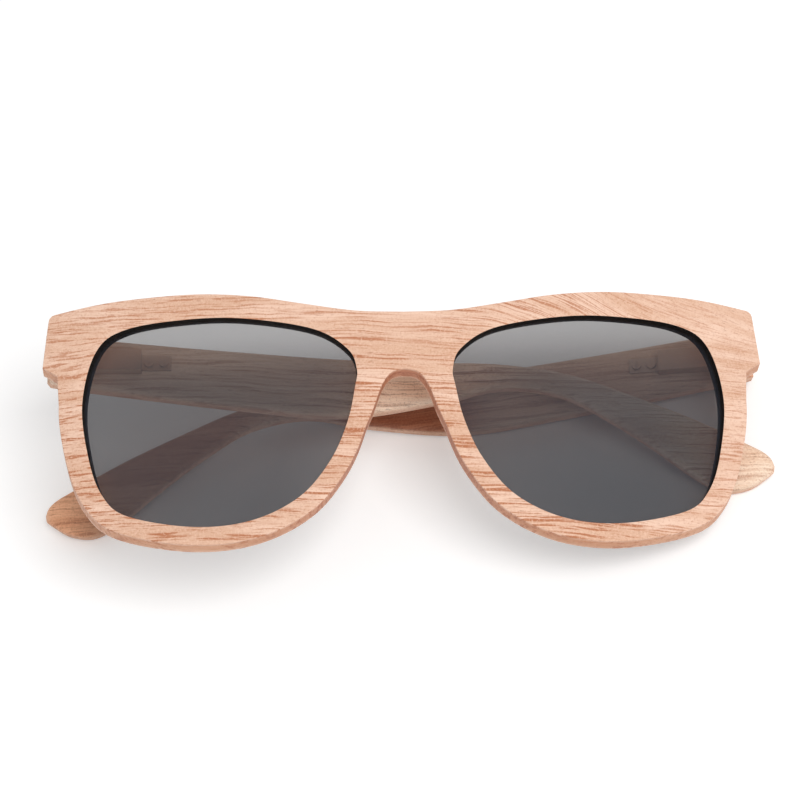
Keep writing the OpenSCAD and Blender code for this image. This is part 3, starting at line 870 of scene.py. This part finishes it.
outer_tones = [tone(240, 200, 174), tone(222, 174, 144), tone(186, 120, 86), tone(152, 94, 64)]
# Inner faces: darker and greyer, painted shade behind the lenses and under the front.
inner_wood_and_shade_tones = {
    LEFT: [tone(220, 194, 174), tone(204, 172, 150), tone(168, 126, 102), tone(132, 94, 74)],
    RIGHT: [tone(220, 190, 168), tone(202, 168, 146), tone(164, 124, 102), tone(128, 92, 74)]}
# Bellies: painted light on the left one, painted shade on the right one under the bridge.
belly_light_and_shade_tones = {
    LEFT: [tone(255, 228, 204), tone(242, 198, 168), tone(140, 82, 56), tone(112, 66, 44)],
    RIGHT: [tone(176, 114, 84), tone(146, 84, 58), tone(110, 58, 38), tone(80, 44, 28)]}
# Necks: the right one darker, partly its wood and partly painted shade from the front above.
neck_wood_and_shade_tones = {
    LEFT: [tone(228, 206, 190), tone(214, 186, 168), tone(178, 140, 118), tone(142, 106, 88)],
    RIGHT: [tone(192, 148, 122), tone(172, 124, 98), tone(140, 94, 70), tone(106, 68, 50)]}
tip_tones = {
    LEFT: [tone(255, 234, 212), tone(240, 206, 178), tone(176, 118, 84), tone(128, 82, 56)],
    RIGHT: [tone(252, 194, 154), tone(232, 164, 124), tone(170, 106, 74), tone(122, 74, 50)]}
for side, word in SIDES:
    along_temple = turn @ Matrix.Rotation(side * folds[side], 3, "Z")
    tip_span = (tip_start[side], tip_start[side] + tip_fade, *past_tip)
    changes = [(stretch(*belly_light_and_shade_span), belly_light_and_shade_tones[side]),
               (stretch(*neck_wood_and_shade_span), neck_wood_and_shade_tones[side]),
               (stretch(*tip_span), tip_tones[side]),
               (stretch(*butt_span), tip_tones[side]),
               (outer_face(side), outer_tones)]
    finish = wood(word + "_temple_wood_and_shade", pins[side], along_temple, "y", inner_wood_and_shade_tones[side], changes,
                  drift=0.03, streak=0.65, seed=9.0 + 5 * side)
    shape = temple_shape(side)
    piece = make_piece(word + "_temple_shape", shape, word + "_temple", [finish], 40)
    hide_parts(word + "_temple")

# %% [markdown]
# The hinges are small turned and folded parts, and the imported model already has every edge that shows, so
# they keep its shape. They get a satin nickel plate with a fine brush mark: noise that is stretched one way.
# A cold grey would stand out through the lenses, so the plate has a warm tone.

# %% The hinges
HINGE_PARTS = ("front_leaf", "leaf_screws", "hinge_pin", "slider", "rod_nut", "spring_box", "box_screws")


def nickel(name, darker, lighter):
    material, at, shader = start_material(name)
    coords = at.node("ShaderNodeTexCoord", out="Object")
    stretched = at.node("ShaderNodeMapping", inputs={"Vector": coords, "Scale": (9000.0, 900.0, 9000.0)})
    brush = at.node("ShaderNodeTexNoise", inputs={"Vector": stretched, "Scale": 1.0, "Detail": 3.0})
    plug(brush.mixed(darker, lighter), shader, "Base Color")
    plug(brush * 0.2 + 0.35, shader, "Roughness")
    shader.inputs["Metallic"].default_value = 0.6
    return material


hinge_nickel = nickel("hinge_nickel", tone(198, 172, 154), tone(208, 184, 166))
for _, word in SIDES:
    for part in HINGE_PARTS:
        mesh = frame["nodes"][word + "_" + part].data
        mesh.materials.clear()
        mesh.materials.append(hinge_nickel)
print("plated", len(SIDES) * len(HINGE_PARTS), "hinge parts")

# %% [markdown]
# Inside each box a coil spring sits on the rod, between the box's wall and the nut, and on the real hinge it
# gets shorter when the slider is drawn out. The packed shape could be kept, but the spring is wound anew, as
# a real one is: a small circle is spun round the rod and moved on a little at each step. It rides on no body.

# %% The springs
TURN_STEPS, WIRE_POINTS = 20, 10
wire_d, spring_turns, rod_d, coil_gap = 0.3, 6, 0.9, 0.1
guide_l, box_wall, nut_l, nut_end_gap = 2.6, 0.8, 0.9, 0.8
coil_d = rod_d + wire_d + 2 * coil_gap
spring_from = barrel_r + box_gap + guide_l + box_wall + touch
spring_to = box_l - box_wall - nut_l - nut_end_gap - touch
pitch = (spring_to - spring_from - wire_d) / spring_turns
spring_wire = nickel("spring_wire", tone(150, 150, 150), tone(190, 190, 188))


def wound_spring(side):
    bm = bmesh.new()
    made = bmesh.ops.create_circle(bm, segments=WIRE_POINTS, radius=wire_d / 2)["verts"]
    start = Matrix.Translation((coil_d / 2, spring_from + wire_d / 2, 0))
    bmesh.ops.transform(bm, matrix=start, verts=made)
    bmesh.ops.spin(bm, geom=bm.verts[:] + bm.edges[:], cent=(0, 0, 0), axis=(0, -1, 0),
                   dvec=(0, pitch / TURN_STEPS, 0), angle=2 * pi * spring_turns,
                   steps=TURN_STEPS * spring_turns)
    ends = [edge for edge in bm.edges if edge.is_boundary]
    bmesh.ops.holes_fill(bm, edges=ends, sides=0)
    bmesh.ops.transform(bm, matrix=hinge_place(side), verts=bm.verts[:])
    return bm


for side, word in SIDES:
    coil = make_piece(word + "_coil", wound_spring(side), None, [spring_wire], 50)
    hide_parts(word + "_spring")
    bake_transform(coil)

# %% [markdown]
# The glasses lie on a white table. A table that is lit until it is white would need so much light that the
# wood bleaches. So its own colour is a pale grey that takes the shadow, and a little glow is added only where
# the camera looks, directly or in a reflection. Through a lens the glow is left out, so the tint stays dark.

# %% The table
table_grey, table_glow, table_size_m = 0.88, 0.26, 3.0


def table_top():
    material, at, shader = start_material("table_white")
    shader.inputs["Base Color"].default_value = (table_grey, table_grey, table_grey, 1.0)
    shader.inputs["Roughness"].default_value = 0.9
    shader.inputs["Specular IOR Level"].default_value = 0.0
    path = at.node("ShaderNodeLightPath").link.node
    rays = ("Is Camera Ray", "Is Glossy Ray", "Is Transmission Ray", "Transparent Depth")
    seen, glossy, passing, depth = (Socket(at.tree, path.outputs[name]) for name in rays)
    view = at.math("MAXIMUM", at.math("MAXIMUM", seen, glossy), passing) * (depth < 0.5)
    plug(view.mixed(tone(0, 0, 0), tone(255, 255, 255)), shader, "Emission Color")
    shader.inputs["Emission Strength"].default_value = table_glow
    return material


table_bm = bmesh.new()
bmesh.ops.create_grid(table_bm, x_segments=1, y_segments=1, size=table_size_m)
table_mesh = bpy.data.meshes.new("table")
table_bm.to_mesh(table_mesh)
table_bm.free()
table_mesh.materials.append(table_top())
floor = bpy.data.objects.new("table", table_mesh)
bpy.context.scene.collection.objects.link(floor)
print("table", 2 * table_size_m, "m wide")

# %% [markdown]
# The light is that of a photo tent: white from all sides, which the world gives, and one large soft lamp at
# the front right, high up, which throws the shadow to the left and back. The lamp is a wide disk, since
# a wide source gives a soft shadow, and it is hidden from reflections, so the lenses have no bright spot.

# %% Light
world_strength = 0.56
key_spot, key_aim = (0.33, -0.38, 0.83), (0, 0, 0.02)
key_size_m, key_watts = 0.55, 4.95


def soft_light(name, spot, aim, size, watts):
    lamp = bpy.data.lights.new(name, "AREA")
    lamp.shape = "DISK"
    lamp.size = size
    lamp.energy = watts
    holder = bpy.data.objects.new(name, lamp)
    holder.location = spot
    holder.rotation_euler = (Vector(aim) - Vector(spot)).to_track_quat("-Z", "Y").to_euler()
    holder.visible_glossy = False
    bpy.context.scene.collection.objects.link(holder)


world = bpy.data.worlds.new("studio")
bpy.context.scene.world = world
world.use_nodes = True
background = world.node_tree.nodes["Background"]
background.inputs["Color"].default_value = (1, 1, 1, 1)
background.inputs["Strength"].default_value = world_strength
soft_light("key", key_spot, key_aim, key_size_m, key_watts)
print("lamp", key_watts, "W, world", world_strength)

# %% [markdown]
# The camera stands where the photograph was taken. It could be placed by eye, but the outlines of the front
# and of the temples fix it in perspective. It is written in the front's own drawing: how far the view tilts
# up, turns aside and rolls, how far off it is, and which point of the drawing falls on which pixel, at
# how many pixels for each millimetre.

# %% The camera
LOOK_UP, LOOK_ASIDE, ROLL = radians(23.92), radians(-2.48), radians(-1.45)
DISTANCE, AIM = 598.39, Vector((-0.67, 0, -2.175))
PIXELS, AIM_PIXEL, SCALE = 800, (403, 424), 5.0775
SENSOR_MM, NEAREST_M = 36.0, 0.05

ahead = Vector((-sin(LOOK_ASIDE) * cos(LOOK_UP), cos(LOOK_ASIDE) * cos(LOOK_UP), sin(LOOK_UP)))
level_right = Vector((cos(LOOK_ASIDE), sin(LOOK_ASIDE), 0))
level_up = level_right.cross(ahead)
rightward = cos(ROLL) * level_right + sin(ROLL) * level_up
upward = cos(ROLL) * level_up - sin(ROLL) * level_right
camera_data = bpy.data.cameras.new("camera")
camera_data.sensor_width = SENSOR_MM
camera_data.lens = SCALE * DISTANCE / PIXELS * SENSOR_MM
camera_data.shift_x = (PIXELS / 2 - AIM_PIXEL[0]) / PIXELS
camera_data.shift_y = (AIM_PIXEL[1] - PIXELS / 2) / PIXELS
camera_data.clip_start = NEAREST_M
camera = bpy.data.objects.new("camera", camera_data)
bpy.context.scene.collection.objects.link(camera)
view_axes = turn @ Matrix((rightward, upward, -ahead)).transposed()
camera.matrix_world = Matrix.Translation(laid @ (AIM - DISTANCE * ahead)) @ view_axes.to_4x4()
bpy.context.scene.camera = camera
print("camera", camera.location, "lens", round(camera_data.lens, 2))
